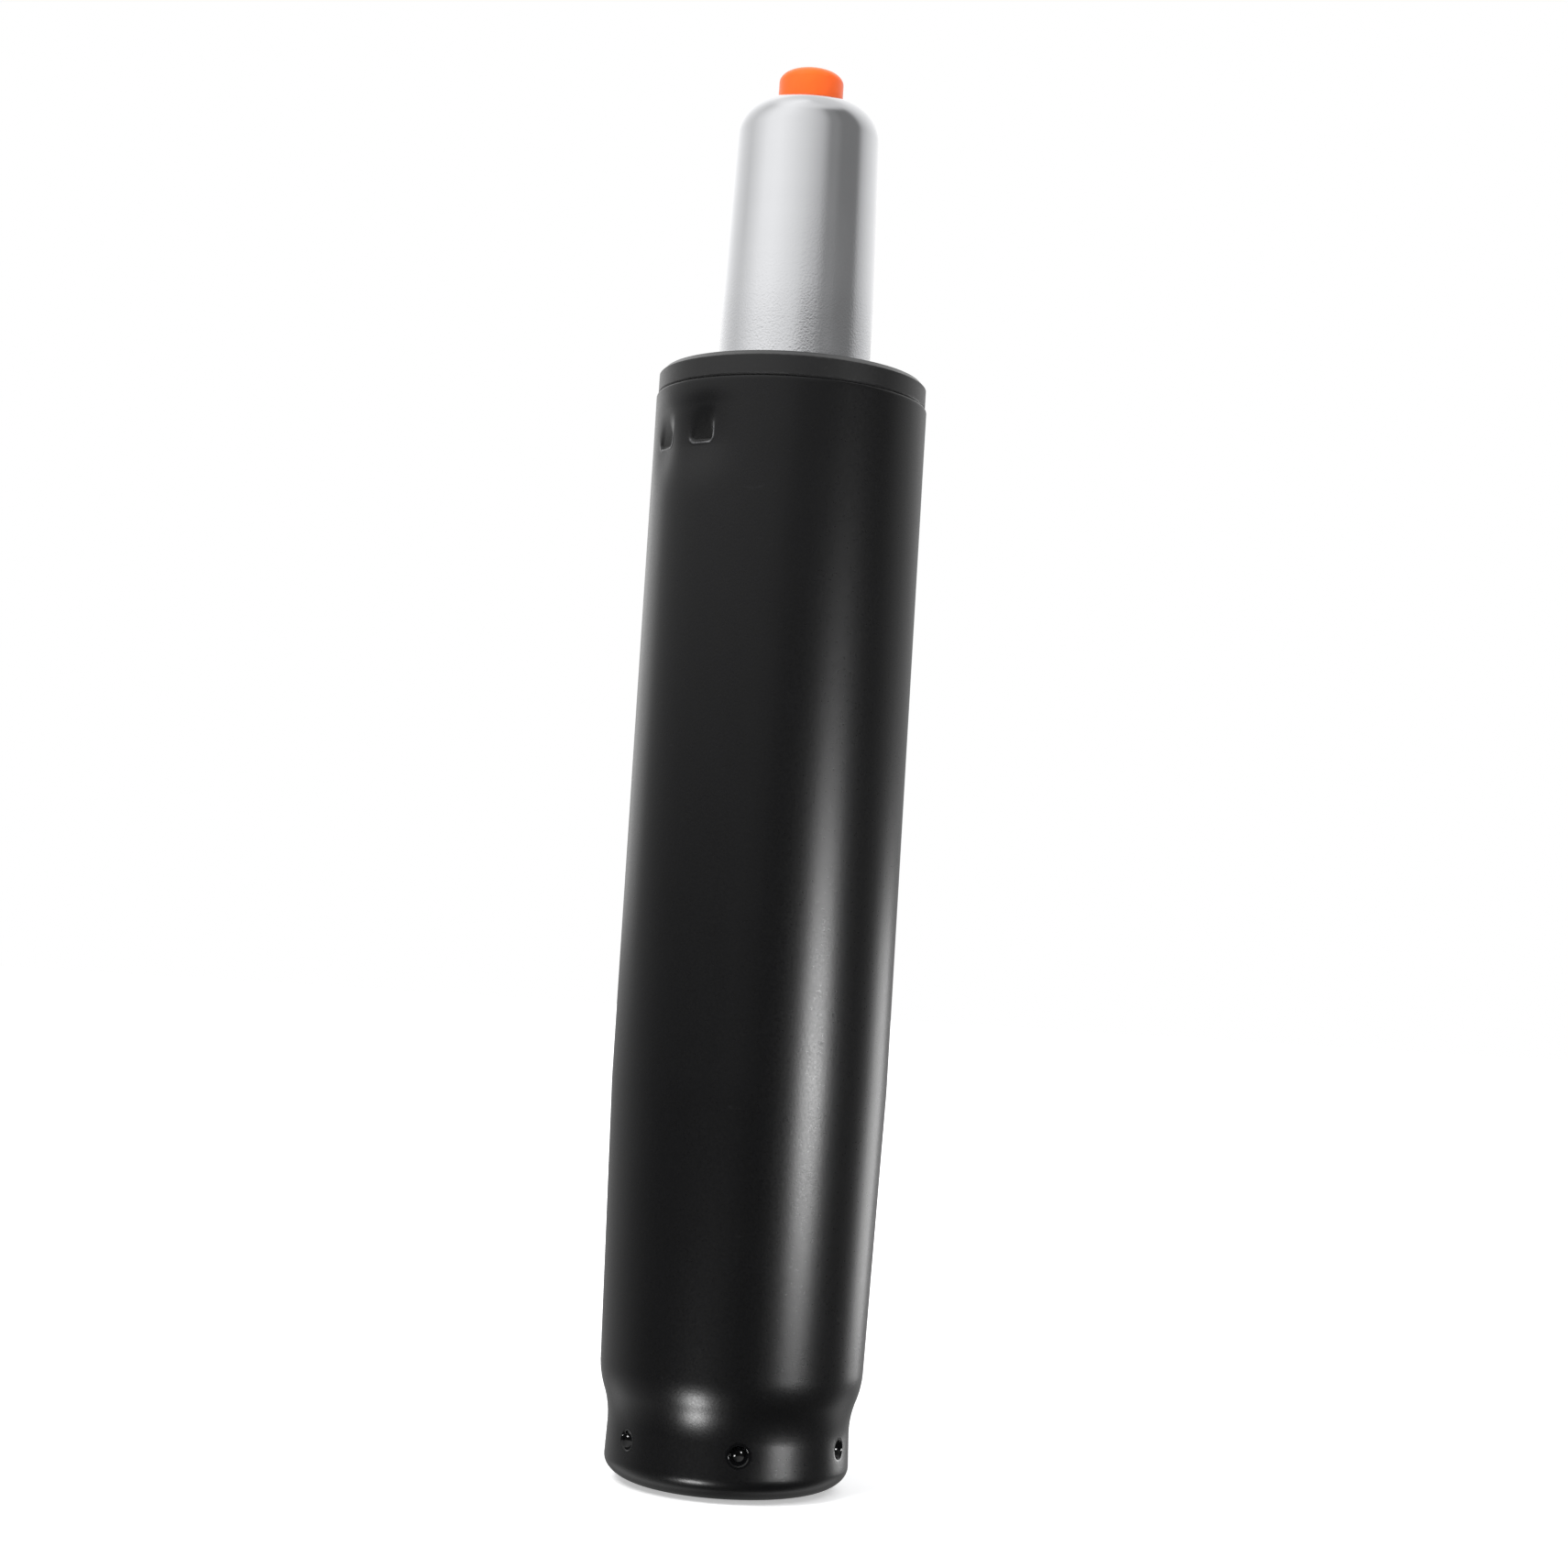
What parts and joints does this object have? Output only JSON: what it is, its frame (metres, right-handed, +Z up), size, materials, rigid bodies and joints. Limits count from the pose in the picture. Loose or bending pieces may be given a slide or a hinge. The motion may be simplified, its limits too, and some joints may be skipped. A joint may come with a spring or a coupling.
{
  "type": "chair gas lift cylinder",
  "caption": "Swivel chair gas lift: a pressure tube with a release button slides out of a tapered steel column over a piston rod that turns on a thrust bearing.",
  "frame": {"origin": "centre of the column foot, on the plane of its turned-in rim", "axes": "+Z up the common axis from the foot to the release button; -Y is the side that the picture shows, to within 5 degrees"},
  "size_m": [0.05, 0.05, 0.2606],
  "materials": {
    "black_powder_coat": "satin powder coat",
    "black_moulding": "matt",
    "zinc_steel": "bright zinc plate",
    "polished_steel": "ground and polished",
    "brass_sheet": "plain",
    "black_rubber": "matt",
    "spring_steel": "blackened",
    "light_alloy": "as turned",
    "ground_steel": "ground",
    "natural_plastic": "plain",
    "valve_brass": "as turned",
    "orange_plastic": "satin"
  },
  "bodies": {
    "column": {"outer_column": "black_powder_coat", "guide_bush": "black_moulding", "bottom_plate": "zinc_steel", "bearing_lower_race": "zinc_steel"},
    "ball_train": {"bearing_balls": "polished_steel", "ball_cage": "brass_sheet"},
    "rod": {"piston_rod": "polished_steel", "bearing_upper_race": "zinc_steel", "bumper_washer": "zinc_steel", "rubber_bumper": "black_rubber", "clip_washer": "zinc_steel", "rod_clip": "spring_steel", "piston_lower_washer": "zinc_steel", "piston": "light_alloy", "piston_ring": "black_rubber", "piston_upper_washer": "zinc_steel"},
    "tube": {"pressure_tube": "ground_steel", "rod_guide": "light_alloy", "rod_seal": "black_rubber", "seal_washer": "zinc_steel", "cylinder_seat": "natural_plastic", "inner_cylinder": "ground_steel", "valve_seat": "valve_brass", "valve_body": "light_alloy", "valve_body_o_rings": "black_rubber", "pin_seals": "black_rubber"},
    "button": {"release_button": "orange_plastic", "valve_pin": "polished_steel"}
  },
  "joints": [
    {"name": "swivel", "type": "hinge", "parent": "column", "child": "rod", "pos_m": [0, 0, 0.00925], "axis": [0, 0, 1], "continuous": true},
    {"name": "ball_train_turn", "type": "hinge", "parent": "column", "child": "ball_train", "pos_m": [0, 0, 0.00925], "axis": [0, 0, 1], "continuous": true},
    {"name": "lift", "type": "slide", "parent": "rod", "child": "tube", "axis": [0, 0, 1], "range_m": [0, 0.1]},
    {"name": "release", "type": "slide", "parent": "tube", "child": "button", "axis": [0, 0, -1], "range_m": [0, 0.0035], "stiffness_N_per_m": 8000, "springref_m": -0.006}
  ],
  "couplings": [
    {"joint": "ball_train_turn", "follows": "swivel", "ratio": 0.5}
  ]
}
